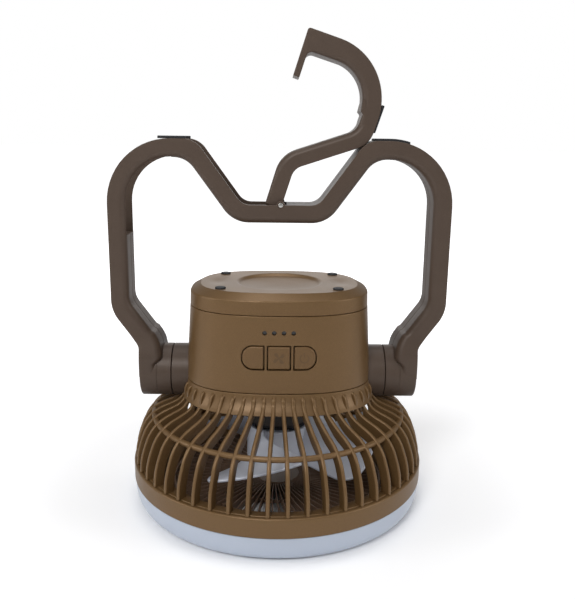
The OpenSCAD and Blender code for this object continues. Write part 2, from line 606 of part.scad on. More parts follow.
module left_shoulder_pads() {
    color([0.05, 0.05, 0.06]) for (y = [-hd + 0.2, chan + 0.2]) translate([-73.7, y, shoulder_z]) cube([16.8, hd - chan - 0.4, pad_t]);
}

module right_shoulder_pad() {
    color([0.05, 0.05, 0.06]) intersection() {
        plate(-chan + 0.3, chan - 0.3) polygon(concat(outer(1.4), flip(outer(-0.25))));
        translate([57.2, -20, 224.5]) cube([21.2, 40, 30]);
    }
}

// ================= hook =================
module unfold() translate([pin[0], 0, pin[1]]) rotate([0, fold, 0]) translate([-pin[0], 0, -pin[1]]) children();
module hook() {
    color(brown) unfold() difference() {
        plate(-hook_w / 2, hook_w / 2) hook_outline();
        translate([-75.3, -9, shoulder_z - 0.3]) cube([17, 18, 3]);
    }
}
module hook_pad() {
    color([0.05, 0.05, 0.06]) unfold() translate([-75.2, -8.9, shoulder_z - 0.3]) cube([16.8, 17.8, pad_t + 0.3]);
}
module hook_pin() {
    color([0.78, 0.77, 0.76]) translate([pin[0], hd + 0.2, pin[1]]) rotate([90, 0, 0]) cylinder(r = 1.5, h = handle_d + 0.4, $fn = 48);
}

lamp_diffuser();
lamp_board();
lamp_leds();
front_bezel();
front_grille();
rear_guard();
guard_screws();
motor_base();
base_screws();
motor_stator();
motor_bearings();
motor_bell();
motor_shaft();
fan_rotor();
rotor_nut();
housing_shell();
base_cap();
cap_screws();
rubber_feet();
battery_holder();
battery_cells();
cell_links();
main_board();
board_screws();
tact_switches();
indicator_leds();
light_pipes();
charging_port();
port_board();
lamp_button();
fan_button();
power_button();
left_hub();
right_hub();
friction_washers();
handle_front_shell();
handle_rear_shell();
handle_screws();
hinge_bolts();
hinge_nuts();
hinge_caps();
left_shoulder_pads();
right_shoulder_pad();
hook();
hook_pad();
hook_pin();
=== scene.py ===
import json
from math import sin, cos, pi, radians, degrees, atan2, sqrt, hypot, acos, tan, exp, asin
import bpy
import bmesh
from mathutils import Vector, Matrix


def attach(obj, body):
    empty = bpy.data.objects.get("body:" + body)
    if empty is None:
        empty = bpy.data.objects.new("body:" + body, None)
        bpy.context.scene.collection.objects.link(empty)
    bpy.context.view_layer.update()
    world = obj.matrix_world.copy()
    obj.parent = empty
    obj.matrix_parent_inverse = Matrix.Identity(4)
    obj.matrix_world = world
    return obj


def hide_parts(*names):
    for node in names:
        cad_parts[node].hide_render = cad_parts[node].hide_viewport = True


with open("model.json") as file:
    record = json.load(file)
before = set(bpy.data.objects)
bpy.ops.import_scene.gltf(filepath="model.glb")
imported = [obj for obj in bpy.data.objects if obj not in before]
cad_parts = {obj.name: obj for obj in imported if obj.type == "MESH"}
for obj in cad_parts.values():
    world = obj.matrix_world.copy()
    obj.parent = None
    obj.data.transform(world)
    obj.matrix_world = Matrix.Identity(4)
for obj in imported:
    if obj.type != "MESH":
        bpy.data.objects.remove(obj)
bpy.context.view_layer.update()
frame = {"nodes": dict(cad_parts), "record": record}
nodes = frame["nodes"]
MM = 0.001
scene = bpy.context.scene


# ------------------------------------------------------------------ materials
def lin(r, g, b):
    f = lambda c: c / 12.92 if c <= 0.04045 else ((c + 0.055) / 1.055) ** 2.4
    return (f(r / 255), f(g / 255), f(b / 255), 1.0)


def material(name, color, rough=0.45, metallic=0.0, vary=0.06, rough_vary=0.05, grain=0.12, grain_scale=2600.0,
             fleck=0.0, coat=0.0, coat_rough=0.2, spec=0.5, sss=0.0, sss_radius=(1, 1, 1), emit=0.0,
             transmission=0.0, ior=1.5, blotch_scale=60.0, brushed=None, wave=None):
    m = bpy.data.materials.new(name)
    m.use_nodes = True
    nt = m.node_tree
    b = nt.nodes["Principled BSDF"]
    b.inputs["Metallic"].default_value = metallic
    b.inputs["IOR"].default_value = ior
    b.inputs["Specular IOR Level"].default_value = spec
    b.inputs["Coat Weight"].default_value = coat
    b.inputs["Coat Roughness"].default_value = coat_rough
    if sss:
        b.inputs["Subsurface Weight"].default_value = sss
        b.inputs["Subsurface Radius"].default_value = sss_radius
        b.inputs["Subsurface Scale"].default_value = 0.004
    if transmission:
        b.inputs["Transmission Weight"].default_value = transmission
    if emit:
        b.inputs["Emission Color"].default_value = color
        b.inputs["Emission Strength"].default_value = emit
    tc = nt.nodes.new("ShaderNodeTexCoord")
    src = tc.outputs["Object"]
    if brushed:
        mp = nt.nodes.new("ShaderNodeMapping")
        mp.inputs["Scale"].default_value = brushed
        nt.links.new(src, mp.inputs["Vector"])
        src = mp.outputs["Vector"]
    blotch = nt.nodes.new("ShaderNodeTexNoise")
    blotch.inputs["Scale"].default_value = blotch_scale
    blotch.inputs["Detail"].default_value = 4.0
    blotch.inputs["Roughness"].default_value = 0.6
    nt.links.new(src, blotch.inputs["Vector"])
    fine = nt.nodes.new("ShaderNodeTexNoise")
    fine.inputs["Scale"].default_value = grain_scale
    fine.inputs["Detail"].default_value = 3.0
    nt.links.new(src, fine.inputs["Vector"])
    ramp = nt.nodes.new("ShaderNodeMix")
    ramp.data_type = "RGBA"
    lo = [max(0.0, c * (1 - vary)) for c in color[:3]] + [1.0]
    hi = [min(1.0, c * (1 + vary)) for c in color[:3]] + [1.0]
    ramp.inputs["A"].default_value = lo
    ramp.inputs["B"].default_value = hi
    nt.links.new(blotch.outputs["Fac"], ramp.inputs["Factor"])
    out = ramp.outputs["Result"]
    if fleck:
        vor = nt.nodes.new("ShaderNodeTexVoronoi")
        vor.inputs["Scale"].default_value = 3600.0
        nt.links.new(src, vor.inputs["Vector"])
        mr = nt.nodes.new("ShaderNodeMapRange")
        mr.inputs["From Min"].default_value = 0.0
        mr.inputs["From Max"].default_value = 1.0
        mr.inputs["To Min"].default_value = 1.0 - fleck
        mr.inputs["To Max"].default_value = 1.0 + fleck
        sep = nt.nodes.new("ShaderNodeSeparateColor")
        nt.links.new(vor.outputs["Color"], sep.inputs["Color"])
        nt.links.new(sep.outputs["Red"], mr.inputs["Value"])
        mul = nt.nodes.new("ShaderNodeVectorMath")
        mul.operation = "SCALE"
        nt.links.new(out, mul.inputs[0])
        nt.links.new(mr.outputs["Result"], mul.inputs["Scale"])
        out = mul.outputs["Vector"]
    nt.links.new(out, b.inputs["Base Color"])
    rr = nt.nodes.new("ShaderNodeMapRange")
    rr.inputs["To Min"].default_value = max(0.02, rough - rough_vary)
    rr.inputs["To Max"].default_value = min(1.0, rough + rough_vary)
    nt.links.new(blotch.outputs["Fac"], rr.inputs["Value"])
    nt.links.new(rr.outputs["Result"], b.inputs["Roughness"])
    if grain:
        bump = nt.nodes.new("ShaderNodeBump")
        bump.inputs["Strength"].default_value = grain
        bump.inputs["Distance"].default_value = 0.00012
        nt.links.new(fine.outputs["Fac"], bump.inputs["Height"])
        nt.links.new(bump.outputs["Normal"], b.inputs["Normal"])
    return m


BRONZE = material("bronze_satin", lin(112, 85, 52), rough=0.41, metallic=0.36, vary=0.05, fleck=0.10, grain=0.16)
BRONZE_DARK = material("bronze_key", lin(109, 82, 50), rough=0.43, metallic=0.32, vary=0.05, fleck=0.10, grain=0.16)
BROWN = material("brown_satin", lin(82, 68, 58), rough=0.44, metallic=0.12, vary=0.07, fleck=0.05, grain=0.24, grain_scale=2200, spec=0.32)
MARK = material("key_mark", lin(94, 71, 43), rough=0.5, metallic=0.2, vary=0.05, grain=0.1)
DIFFUSER = material("diffuser_milk", lin(184, 193, 208), rough=0.28, vary=0.003, rough_vary=0.01, grain=0.02, sss=0.35, sss_radius=(1.0, 1.0, 1.0), coat=0.25, coat_rough=0.15)
DARK = material("grille_dark", lin(112, 88, 70), rough=0.4, vary=0.1, grain=0.18)
MOTOR_DARK = material("motor_dark", lin(50, 41, 34), rough=0.45, metallic=0.1, vary=0.08, grain=0.15)
DARK_METAL = material("black_oxide", lin(44, 44, 46), rough=0.38, metallic=0.8, vary=0.08, grain=0.1)
BLADE = material("blade_grey", lin(222, 226, 238), rough=0.30, vary=0.03, grain=0.05, coat=0.2)
RUBBER = material("rubber_black", lin(30, 30, 33), rough=0.62, vary=0.12, grain=0.4, grain_scale=1800)
STEEL = material("steel_bright", lin(190, 190, 194), rough=0.28, metallic=1.0, vary=0.04, grain=0.08, brushed=(1.0, 1.0, 6.0))
NICKEL = material("nickel", lin(205, 203, 198), rough=0.24, metallic=1.0, vary=0.03, grain=0.06)
COPPER = material("copper_wire", lin(176, 100, 58), rough=0.34, metallic=0.9, vary=0.08, grain=0.5, grain_scale=1200, brushed=(1, 1, 5))
CELL = material("cell_wrap", lin(46, 110, 170), rough=0.35, vary=0.04, grain=0.05, coat=0.3)
BOARD = material("board_green", lin(22, 84, 48), rough=0.35, vary=0.12, grain=0.2, coat=0.4)
WHITE_BOARD = material("board_white", lin(226, 230, 226), rough=0.4, vary=0.03, grain=0.1)
LED = material("led_yellow", lin(240, 226, 168), rough=0.3, vary=0.03, grain=0.05)
# light pipes: clear plastic given a near-black brown colour, which is painted shade standing in for the shade inside
# the front holes, not the plastic's own tint
LIGHT_PIPE_SHADE = material("light_pipe_painted_shade", lin(30, 25, 20), rough=0.3, vary=0.03, grain=0.03, coat=0.5)
WASHER = material("washer_nylon", lin(214, 210, 200), rough=0.4, vary=0.04, grain=0.1)

by_slot = {"bronze": BRONZE, "brown": BROWN, "key": BRONZE_DARK, "diffuser": DIFFUSER, "white_board": WHITE_BOARD, "led": LED,
           "dark": DARK, "dark_metal": DARK_METAL, "steel": STEEL, "copper": COPPER, "blade": BLADE, "rubber": RUBBER,
           "cell": CELL, "nickel": NICKEL, "board": BOARD, "clear": LIGHT_PIPE_SHADE, "washer": WASHER}
slot_of = {s["node"]: s["material_slot"] for s in frame["record"]["subparts"]}
body_of = {n: b for b, ns in frame["record"]["behaviour"]["bodies"].items() for n in ns}
for n, o in nodes.items():
    o.data.materials.clear()
    o.data.materials.append(by_slot[slot_of[n]])


# ------------------------------------------------------------------ mesh tools
def bm_from(verts, faces, merge=1e-6):
    bm = bmesh.new()
    vs = [bm.verts.new((p[0] * MM, p[1] * MM, p[2] * MM)) for p in verts]
    for f in faces:
        seen = []
        for i in f:
            if i not in seen:
                seen.append(i)
        if len(seen) > 2:
            try:
                bm.faces.new([vs[i] for i in seen])
            except ValueError:
                pass
    if merge:
        bmesh.ops.remove_doubles(bm, verts=bm.verts, dist=merge)
    bmesh.ops.dissolve_degenerate(bm, dist=1e-7, edges=bm.edges)
    bmesh.ops.recalc_face_normals(bm, faces=bm.faces)
    return bm


def add_piece(name, bm, mat, node, sharp=38.0, weighted=True):
    for f in bm.faces:
        f.smooth = True
    lim = radians(sharp)
    for e in bm.edges:
        if len(e.link_faces) == 2:
            e.smooth = e.calc_face_angle(0.0) < lim
        else:
            e.smooth = False
    me = bpy.data.meshes.new(name)
    bm.to_mesh(me)
    bm.free()
    me.materials.append(mat)
    o = bpy.data.objects.new(name, me)
    scene.collection.objects.link(o)
    if weighted:
        w = o.modifiers.new("weighted", "WEIGHTED_NORMAL")
        w.keep_sharp = True
        w.weight = 60
    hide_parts(node)
    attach(o, body_of[node])
    return o


def loft(rings, closed=True, cap0=True, cap1=True, wrap=False):
    n = len(rings[0])
    verts = [p for r in rings for p in r]
    faces = []
    m = len(rings)
    for i in range(m if wrap else m - 1):
        k = (i + 1) % m
        for j in range(n if closed else n - 1):
            q = (j + 1) % n
            faces.append((i * n + j, i * n + q, k * n + q, k * n + j))
    if cap0 and not wrap:
        faces.append(tuple(range(n - 1, -1, -1)))
    if cap1 and not wrap:
        faces.append(tuple((m - 1) * n + j for j in range(n)))
    return verts, faces


def join(parts):
    verts, faces = [], []
    for v, f in parts:
        k = len(verts)
        verts += v
        faces += [tuple(i + k for i in q) for q in f]
    return verts, faces


def turned(part, ang, axis="Z", centre=(0, 0, 0)):
    m = Matrix.Rotation(ang, 3, axis)
    c = Vector(centre)
    return [tuple(m @ (Vector(p) - c) + c) for p in part[0]], part[1]


def mirrored(part, axis):
    v = [tuple(-c if i == axis else c for i, c in enumerate(p)) for p in part[0]]
    return v, [tuple(reversed(f)) for f in part[1]]


def moved(part, d):
    return [(p[0] + d[0], p[1] + d[1], p[2] + d[2]) for p in part[0]], part[1]


def lathe(profile, seg=96, axis="Z", centre=(0, 0, 0), a0=0.0, a1=2 * pi):
    # profile: closed list of (radius, height along the axis)
    full = abs(a1 - a0 - 2 * pi) < 1e-6
    rings = []
    for i in range(seg if full else seg + 1):
        a = a0 + (a1 - a0) * i / seg
        r = []
        for (q, h) in profile:
            if axis == "Z":
                r.append((centre[0] + q * cos(a), centre[1] + q * sin(a), centre[2] + h))
            elif axis == "X":
                r.append((centre[0] + h, centre[1] + q * cos(a), centre[2] + q * sin(a)))
            else:
                r.append((centre[0] + q * cos(a), centre[1] + h, centre[2] + q * sin(a)))
        rings.append(r)
    return loft(rings, wrap=full)


def corner(p, q, r, rad, n=6, part=0.499):
    p, q, r = Vector(p), Vector(q), Vector(r)
    a, b = (p - q), (r - q)
    la, lb = a.length, b.length
    if rad < 0.02 or la < 1e-6 or lb < 1e-6:
        return [tuple(q)]
    a /= la
    b /= lb
    d = max(-1.0, min(1.0, a.dot(b)))
    h = acos(d) / 2
    if abs(h - pi / 2) < 1e-3 or h < 1e-3:
        return [tuple(q)]
    t = rad / tan(h)
    lim = part * min(la, lb)
    if t > lim:
        rad *= lim / t
    c = q + (a + b).normalized() * rad / sin(h)
    u = q + a * rad / tan(h) - c
    w = q + b * rad / tan(h) - c
    s, e = atan2(u[1], u[0]), atan2(w[1], w[0])
    if e - s > pi:
        e -= 2 * pi
    if e - s < -pi:
        e += 2 * pi
    return [(c[0] + rad * cos(s + (e - s) * i / n), c[1] + rad * sin(s + (e - s) * i / n)) for i in range(n + 1)]


def fillet(pts, rads, n=6):
    out = []
    m = len(pts)
    for i in range(m):
        out += corner(pts[i - 1], pts[i], pts[(i + 1) % m], rads[i] if isinstance(rads, (list, tuple)) else rads, n)
    return out


def fillet_open(pts, rads, n=6):
    out = [tuple(pts[0])]
    for i in range(1, len(pts) - 1):
        out += corner(pts[i - 1], pts[i], pts[i + 1], rads[i], n, 0.999)
    return out + [tuple(pts[-1])]


def catmull(pts, steps=4):
    out = []
    m = len(pts)
    for i in range(m - 1):
        p0 = Vector(pts[i - 1]) if i > 0 else 2 * Vector(pts[0]) - Vector(pts[1])
        p1, p2 = Vector(pts[i]), Vector(pts[i + 1])
        p3 = Vector(pts[i + 2]) if i + 2 < m else 2 * Vector(pts[m - 1]) - Vector(pts[m - 2])
        for k in range(steps):
            t = k / steps
            out.append(tuple(0.5 * ((2 * p1) + (p2 - p0) * t + (2 * p0 - 5 * p1 + 4 * p2 - p3) * t * t + (3 * p1 - p0 - 3 * p2 + p3) * t ** 3)))
    out.append(tuple(pts[-1]))
    return out


def area2(pts):
    return sum(pts[i][0] * pts[(i + 1) % len(pts)][1] - pts[(i + 1) % len(pts)][0] * pts[i][1] for i in range(len(pts))) / 2


def clean(pts, tol=0.02):
    out = []
    for p in pts:
        if not out or hypot(p[0] - out[-1][0], p[1] - out[-1][1]) > tol:
            out.append((p[0], p[1]))
    if hypot(out[0][0] - out[-1][0], out[0][1] - out[-1][1]) < tol:
        out.pop()
    return out


def inward(pts):
    # unit miter vectors pointing into the outline
    s = 1 if area2(pts) > 0 else -1
    out = []
    m = len(pts)
    for i in range(m):
        a = Vector(pts[i]) - Vector(pts[i - 1])
        b = Vector(pts[(i + 1) % m]) - Vector(pts[i])
        a.normalize()
        b.normalize()
        na = Vector((-a[1], a[0])) * s
        nb = Vector((-b[1], b[0])) * s
        v = na + nb
        k = v.length
        if k < 1e-6:
            out.append(na)
            continue
        v /= k
        c = max(0.35, v.dot(na))
        out.append(v / c)
    return out


def slab(pts, y0, y1, r0, r1, n=5, to3=None):
    # outline (x, z) extruded along Y with rounded rims; r0 and r1 are radii, one number or one for each point
    pts = list(pts)
    m = len(pts)
    r0 = r0 if isinstance(r0, list) else [r0] * m
    r1 = r1 if isinstance(r1, list) else [r1] * m
    inn = inward(pts)
    to3 = to3 or (lambda x, y, z: (x, y, z))
    rings = []
    for k in range(n + 1):
        a = (pi / 2) * k / n
        rings.append([to3(p[0] + v[0] * r * (1 - sin(a)), y0 + r * (1 - cos(a)), p[1] + v[1] * r * (1 - sin(a))) for p, v, r in zip(pts, inn, r0)])
    for k in range(n, -1, -1):
        a = (pi / 2) * k / n
        rings.append([to3(p[0] + v[0] * r * (1 - sin(a)), y1 - r * (1 - cos(a)), p[1] + v[1] * r * (1 - sin(a))) for p, v, r in zip(pts, inn, r1)])
    return loft(rings)


def se(a, b, n=2.6, m=240):
    out = []
    for i in range(m):
        t = 2 * pi * i / m
        c, s = cos(t), sin(t)
        out.append((a * (1 if c >= 0 else -1) * abs(c) ** (2 / n), b * (1 if s >= 0 else -1) * abs(s) ** (2 / n)))
    return out


def ring_at(a, b, z, m=240):
    return [(x, y, z) for x, y in se(a, b, 2.6, m)]


def boolean(bm, cutter, op="DIFFERENCE"):
    me = bpy.data.meshes.new("t")
    bm.to_mesh(me)
    bm.free()
    mc = bpy.data.meshes.new("c")
    cutter.to_mesh(mc)
    cutter.free()
    o = bpy.data.objects.new("t", me)
    c = bpy.data.objects.new("c", mc)
    scene.collection.objects.link(o)
    scene.collection.objects.link(c)
    md = o.modifiers.new("b", "BOOLEAN")
    md.operation = op
    md.solver = "EXACT"
    md.object = c
    dg = bpy.context.evaluated_depsgraph_get()
    dg.update()
    res = bpy.data.meshes.new_from_object(o.evaluated_get(dg))
    out = bmesh.new()
    out.from_mesh(res)
    bpy.data.objects.remove(o)
    bpy.data.objects.remove(c)
    bpy.data.meshes.remove(me)
    bpy.data.meshes.remove(mc)
    bpy.data.meshes.remove(res)
    bmesh.ops.remove_doubles(out, verts=out.verts, dist=2e-6)
    bmesh.ops.dissolve_degenerate(out, dist=2e-6, edges=out.edges)
    return out


def bevel_edges(bm, width, angle=40.0, segs=2, keep=None):
    lim = radians(angle)
    es = [e for e in bm.edges if len(e.link_faces) == 2 and e.calc_face_angle(0.0) > lim and (keep is None or keep(e))]
    if es:
        bmesh.ops.bevel(bm, geom=es, offset=width * MM, offset_type="OFFSET", segments=segs, profile=0.5, affect="EDGES", clamp_overlap=True)
    return bm


# ------------------------------------------------------------------ shared sizes
SEAM, CAPZ, TOP = 82.8, 130.3, 142.7
HZ = 83.3
PIN = (0.3, 192.5)


def hx(z):
    return 59.3 - (z - SEAM) * 2.7 / 47.5


def hy(z):
    return 46.3 - (z - SEAM) * 2.6 / 47.5


def wall_y(x, z):
    return hy(z) * max(0.0, 1 - (abs(x) / hx(z)) ** 2.6) ** (1 / 2.6)


# ------------------------------------------------------------------ lamp ring and rim
prof = catmull([(86, 0), (88.4, 0.55), (90.4, 1.5), (92.0, 3.0), (93.2, 5.2), (93.9, 8), (94.3, 11.5), (94.5, 15.7)], 4)
prof = [(72.6, 0.5), (72.75, 0.15), (73.1, 0.0)] + prof + [(94.2, 15.95), (92.6, 15.95), (92.2, 9.4), (91.2, 5.7), (89.2, 3.1), (85.6, 1.8), (74.4, 1.8), (74.4, 5), (72.6, 5)]
add_piece("diffuser_ring", bm_from(*lathe(prof, 256)), DIFFUSER, "lamp_diffuser", 50)

prof = fillet([(70.5, 1.2), (72.4, 1.2), (72.4, 5.2), (73.2, 5.2), (73.2, 9.4), (83.4, 23.5), (92.4, 23.5), (92.4, 16.05), (95, 16.05), (95, 28), (92.5, 28), (92.5, 25.5), (81.8, 25.5), (70.5, 10.4)],
              [0.5, 0.3, 0.1, 0.3, 1, 1, 1, 0.1, 0.7, 1.1, 0.3, 0.4, 1.0, 1.0], 5)
add_piece("front_rim", bm_from(*lathe(prof, 256)), BRONZE, "front_bezel", 50)

# ------------------------------------------------------------------ outlet grille
parts = [lathe(fillet([(68.5, 3), (70.3, 3), (70.3, 10), (68.5, 10)], 0.5, 3), 192)]
parts.append(lathe([(0.001, 3.2)] + [(15.0 * sin(radians(6 * k)) if k < 15 else 15.0, 3.2 + 1.2 * (1 - cos(radians(6 * k)))) for k in range(1, 16)] + [(15.0, 8.8), (14.6, 9.2), (0.001, 9.2)], 96))
for r in (33, 51):
    parts.append(lathe(fillet([(r - 0.7, 4.3), (r + 0.7, 4.3), (r + 0.7, 6.4), (r - 0.7, 6.4)], 0.4, 3), 144))
for i in range(72):
    a0 = 2 * pi * i / 72
    rings = []
    for k in range(13):
        t = k / 12
        r = 14.2 + (69.0 - 14.2) * t
        a = a0 + 0.02 + 0.145 * t ** 0.9
        nx, ny = -sin(a + 0.12), cos(a + 0.12)
        cx, cy = r * cos(a), r * sin(a)
        sec = fillet([(-0.38, 4.0), (0.38, 4.0), (0.38, 8.7), (-0.38, 8.7)], 0.25, 2)
        rings.append([(cx + nx * u, cy + ny * u, z) for u, z in sec])
    parts.append(loft(rings))
add_piece("outlet_grille", bm_from(*join(parts), merge=0), DARK, "front_grille", 45)

# ------------------------------------------------------------------ guard
def rib(i):
    a = 2 * pi * (i + 0.5) / 52
    k = (abs(cos(a) / 60.3) ** 2.6 + abs(sin(a) / 48.5) ** 2.6) ** (-1 / 2.6)
    w = (k - 48) / 12.2
    ro = catmull([(k - 2.2, 81.2), (k + 0.1, 79.6), (k + 1.5, 76), (55.5 + 6.6 * w, 71.8 - 0.4 * w), (62 + 3.2 * w, 68.9 - 1.2 * w), (69.5, 65.3),
                  (77.3, 62.1), (83.5, 57.9), (88, 52.1), (90.5, 46.2), (92.1, 41.5), (93.5, 35.5), (94, 28.2)], 4)
    ri = catmull([(k - 2.6, 73.2), (k - 1.6, 72.2), (k - 0.4, 70.6), (k + 1.5, 68.9 - 2.2 * w), (61.5 + 1.5 * w, 62.6 - 0.4 * w), (68.5, 58.7),
                  (74.6, 56.3), (78.9, 53.0), (81.9, 49), (84.1, 44.5), (85.6, 40.5), (87.0, 35), (87.6, 28.2)], 4)
    rings = []
    for (r0, z0), (r1, z1) in zip(ro, ri):
        d = hypot(r1 - r0, z1 - z0)
        ux, uz = (r1 - r0) / d, (z1 - z0) / d
        sec = fillet([(-1.15, 0), (1.15, 0), (1.15, d), (-1.15, d)], [0.85, 0.85, 0.7, 0.7], 3)
        ring = []
        for t, v in sec:
            r, z = r0 + ux * v, z0 + uz * v
            ring.append((r * cos(a) - t * sin(a), r * sin(a) + t * cos(a), z))
        rings.append(ring)
    return loft(rings)


near, far = [], []
for i in range(52):
    a = 2 * pi * (i + 0.5) / 52
    (near if abs(sin(a)) * 62 < 24 else far).append(rib(i))
bm = bm_from(*join(near), merge=0)
cuts = []
for s in (1, -1):
    cuts.append(lathe([(0.001, 0), (17.7, 0), (17.7, 40), (0.001, 40)], 96, "X", (68.3 if s > 0 else -108.3, 0, HZ)))
cb = bm_from(*join(cuts))
bm = boolean(bm, cb)
bevel_edges(bm, 0.35, 50, 2)
add_piece("guard_ribs_side", bm, BRONZE, "rear_guard", 50)
add_piece("guard_ribs", bm_from(*join(far), merge=0), BRONZE, "rear_guard", 50)

# neck skirt
out_path = catmull([(59.3, 46.3, 82.3), (59.55, 46.9, 80.0), (60.1, 48.1, 77.0), (61.0, 50.1, 73.6), (61.9, 52.2, 71.2)], 5)
rings = [ring_at(58.3, 45.3, 82.58), ring_at(58.9, 45.9, 82.58), ring_at(59.15, 46.15, 82.5), ring_at(59.28, 46.28, 82.3)]
rings += [ring_at(a, b, z) for a, b, z in out_path[1:]]
rings += [ring_at(61.6, 51.9, 70.7), ring_at(60.9, 51.2, 70.5), ring_at(60.1, 50.4, 70.7), ring_at(59.6, 49.8, 71.2)]
rings += [ring_at(a - 2.4, b - 2.4, z) for a, b, z in reversed(out_path[1:])]
rings += [ring_at(56.9, 43.9, 82.4)]
add_piece("guard_neck", bm_from(*loft(rings, wrap=True)), BRONZE, "rear_guard", 50)

parts = [lathe([(81.3 + 1.75 * cos(radians(18 * k)), 57.1 + 1.75 * sin(radians(18 * k))) for k in range(20)], 208),
         lathe(fillet([(86.4, 25.7), (92.2, 25.7), (92.2, 28.3), (86.4, 28.3)], [0.4, 0.4, 0.6, 0.8], 4), 208)]
add_piece("guard_rings", bm_from(*join(parts)), BRONZE, "rear_guard", 50)

# ------------------------------------------------------------------ motor and rotor
prof = fillet([(19.4, 51), (21, 51), (21, 77.6), (19.4, 77.6)], [0.3, 0.8, 0.1, 0.1], 4)
parts = [lathe(prof, 128)]
plate = se(56.0, 43.0)
parts.append(slab([(x, y) for x, y in plate], 77.5, 80.3, 0.4, 0.4, 2, to3=lambda x, y, z: (x, z, y)))
add_piece("motor_carrier", bm_from(*join(parts)), MOTOR_DARK, "motor_base", 45)

prof = fillet([(0.001, 47.6), (18.6, 47.6), (18.6, 70), (16.4, 70), (16.4, 49.2), (0.001, 49.2)], [0, 1.2, 0.2, 0.2, 0.6, 0], 5)
add_piece("motor_can", bm_from(*lathe(prof, 96)), DARK_METAL, "motor_bell", 45)

HUBP = fillet([(0.001, 26.1), (4.4, 26.1), (4.4, 22), (20.6, 22), (20.6, 46.9), (18.4, 46.9), (18.4, 25), (8, 25), (8, 47.5), (0.001, 47.5)],
              [0, 0.2, 0.4, 2.2, 0.6, 0.4, 1, 1, 0.4, 0], 5)
parts = [lathe(HUBP, 128)]
HIGH = [(19, -26), (21, -24), (25, -20), (30, -15), (35, -9), (40, -3), (45, 3), (50, 8), (55, 11.4), (60, 14), (65.7, 16.2)]


def high_edge(r):
    for (r0, a0), (r1, a1) in zip(HIGH, HIGH[1:]):
        if r <= r1:
            return a0 + (a1 - a0) * (r - r0) / (r1 - r0)
    return HIGH[-1][1]


def blade():
    # angles in degrees from the blade's base line; each section rises from its low edge to its high edge
    rings = []
    rs = [19.4, 21, 23, 25.5, 28, 31, 34, 37, 40, 43, 46, 49, 51.5, 53.5, 55.5, 57.5, 59.3, 61, 62.4, 63.5, 64.3, 64.9, 65.25, 65.5, 65.65, 65.7]
    for r in rs:
        lo, hi = -48.0, high_edge(r)
        d0 = max(0.0, (r - 52.7) / 13.0)
        d1 = max(0.0, (r - 62.2) / 3.5)
        a0 = lo + degrees(13.0 * (1 - sqrt(max(0.0, 1 - d0 * d0))) / r)
        a1 = hi - degrees(3.5 * (1 - sqrt(max(0.0, 1 - d1 * d1))) / r)
        rise = 23.0 / (hi - lo)
        chord = hypot(radians(a1 - a0) * r, rise * (a1 - a0))
        phi = atan2(rise, radians(1) * r)
        tip = sqrt(max(0.02, 1 - max(0.0, (r - 64.9) / 0.8) ** 2))
        ds = [0.0, 0.12, 0.35, 0.6, 0.9] + [0.9 + (chord - 1.8) * k / 16 for k in range(1, 16)] + [chord - 0.9, chord - 0.6, chord - 0.35, chord - 0.12, chord]
        top, bot = [], []
        for d in ds:
            e = min(d, chord - d)
            h = 0.9 * tip * (sqrt(max(0.01, 1 - (1 - e / 0.9) ** 2)) if e < 0.9 else 1.0)
            q = d / chord
            a = radians(a0 + (a1 - a0) * q)
            z = 24.5 + rise * (degrees(a) - lo) + 0.7 * sin(pi * q)
            for lst, sg in ((top, 1), (bot, -1)):
                t = -sin(phi) * h * sg
                lst.append((r * cos(a) - t * sin(a), r * sin(a) + t * cos(a), z + cos(phi) * h * sg))
        rings.append(top + bot[::-1])
    return loft(rings)


b0 = blade()
for i in range(4):
    parts.append(turned(b0, pi * i / 2))
add_piece("rotor", bm_from(*join(parts), merge=1e-7), BLADE, "fan_rotor", 50)

# ------------------------------------------------------------------ housing
zs = [83.6, 86, 89, 92, 95, 98, 101, 104, 107, 110, 113, 116, 119, 122, 125, 127.5, 129.4]
rings = []
for k in range(5):
    a = (pi / 2) * k / 4
    z = 82.85 + 0.55 * (1 - cos(a))
    i = 0.55 * (1 - sin(a))
    rings.append(ring_at(hx(z) - i, hy(z) - i, z))
rings += [ring_at(hx(z), hy(z), z) for z in zs]
for k in range(4, -1, -1):
    a = (pi / 2) * k / 4
    z = 130.08 - 0.55 * (1 - cos(a))
    i = 0.55 * (1 - sin(a))
    rings.append(ring_at(hx(z) - i, hy(z) - i, z))
bm = bm_from(*loft(rings))


def key_outline(x0, x1, side, g, n=20):
    h = 6.95 + g
    a, b, z0, z1 = x0 - g, x1 + g, 105 - h, 105 + h
    if side == 0:
        return clean(fillet([(a, z0), (b, z0), (b, z1), (a, z1)], 0.5 + g * 0.4, 4))
    r = h - 0.02
    if side < 0:
        return clean(fillet([(a, z0), (b, z0), (b, z1), (a, z1)], [r, 0.6, 0.6, r], n))
    return clean(fillet([(a, z0), (b, z0), (b, z1), (a, z1)], [0.6, r, r, 0.6], n))


KEYS = [("lamp_button", -22.0, -9.2, -1), ("fan_button", -6.6, 6.6, 0), ("power_button", 9.2, 22.0, 1)]
cuts = []
for nm, x0, x1, side in KEYS:
    cuts.append(slab(key_outline(x0, x1, side, 0.7), -52, -40.2, 0, 0, 1))
for x in (-8.6, -2.9, 2.9, 8.6):
    cuts.append(lathe([(0.001, -52), (1.4, -52), (1.4, -41.4), (0.001, -41.4)], 40, "Y", (x, 0, 120.1)))
oval = lambda w, r: [(w + r * cos(t), 95.9 + r * sin(t)) for t in [radians(-90 + 10 * k) for k in range(19)]] + [(-w + r * cos(t), 95.9 + r * sin(t)) for t in [radians(90 + 10 * k) for k in range(19)]]
cuts.append(loft([[(x, y, z) for x, z in oval(w, r)] for w, r, y in ((4.4, 4.0, 52), (4.4, 4.0, 45.0), (2.9, 1.8, 45.0), (2.9, 1.8, 37.2))]))
cb = bm_from(*join(cuts))
bm = boolean(bm, cb)
bevel_edges(bm, 0.32, 42, 3)
add_piece("housing", bm, BRONZE, "housing_shell", 40)


